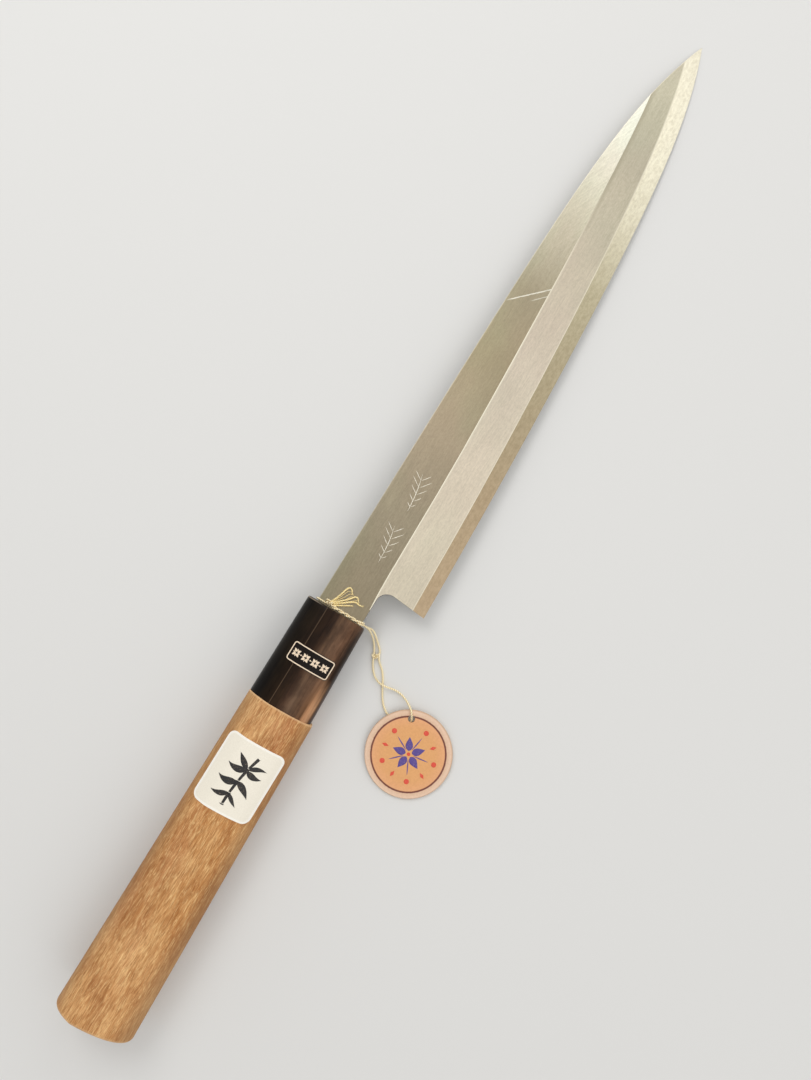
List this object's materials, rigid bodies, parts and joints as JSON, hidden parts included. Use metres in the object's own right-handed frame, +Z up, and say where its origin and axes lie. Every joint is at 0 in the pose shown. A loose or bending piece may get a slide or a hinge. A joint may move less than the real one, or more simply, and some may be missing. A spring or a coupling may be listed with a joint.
{
  "type": "kitchen knife",
  "caption": "Yanagiba: long single-bevel slicing knife with hollow back, wooden D handle, horn ferrule and a card tag on a thread.",
  "frame": {"origin": "middle of the knife's bounding box, without the hanging tag and its thread, on the table it lies on", "axes": "+X along the knife towards the point, +Y from the edge to the spine, +Z up from the table, with the bevel face up"},
  "size_m": [0.356, 0.0644, 0.0206],
  "materials": {
    "soft_iron": "satin, ground along its length",
    "hard_steel": "bright, finely honed",
    "magnolia": "bare, fine sanded",
    "horn": null,
    "resin": "dark resin",
    "label_paper": "matt paper",
    "dark_label_paper": "matt paper with a gilt border",
    "gold_thread": "twisted gold thread",
    "tag_card": "uncoated card, printed"
  },
  "bodies": {
    "root": {"blade_soft_iron": "soft_iron", "blade_hard_steel": "hard_steel", "wood_handle": "magnolia", "horn_ferrule": "horn", "tang_seal": "resin", "handle_label": "label_paper", "ferrule_label": "dark_label_paper", "neck_tie": "gold_thread", "tie_knot": "gold_thread", "thread_ends": "gold_thread", "tag_thread": "gold_thread", "thread_knot": "gold_thread", "paper_tag": "tag_card"}
  },
  "joints": []
}
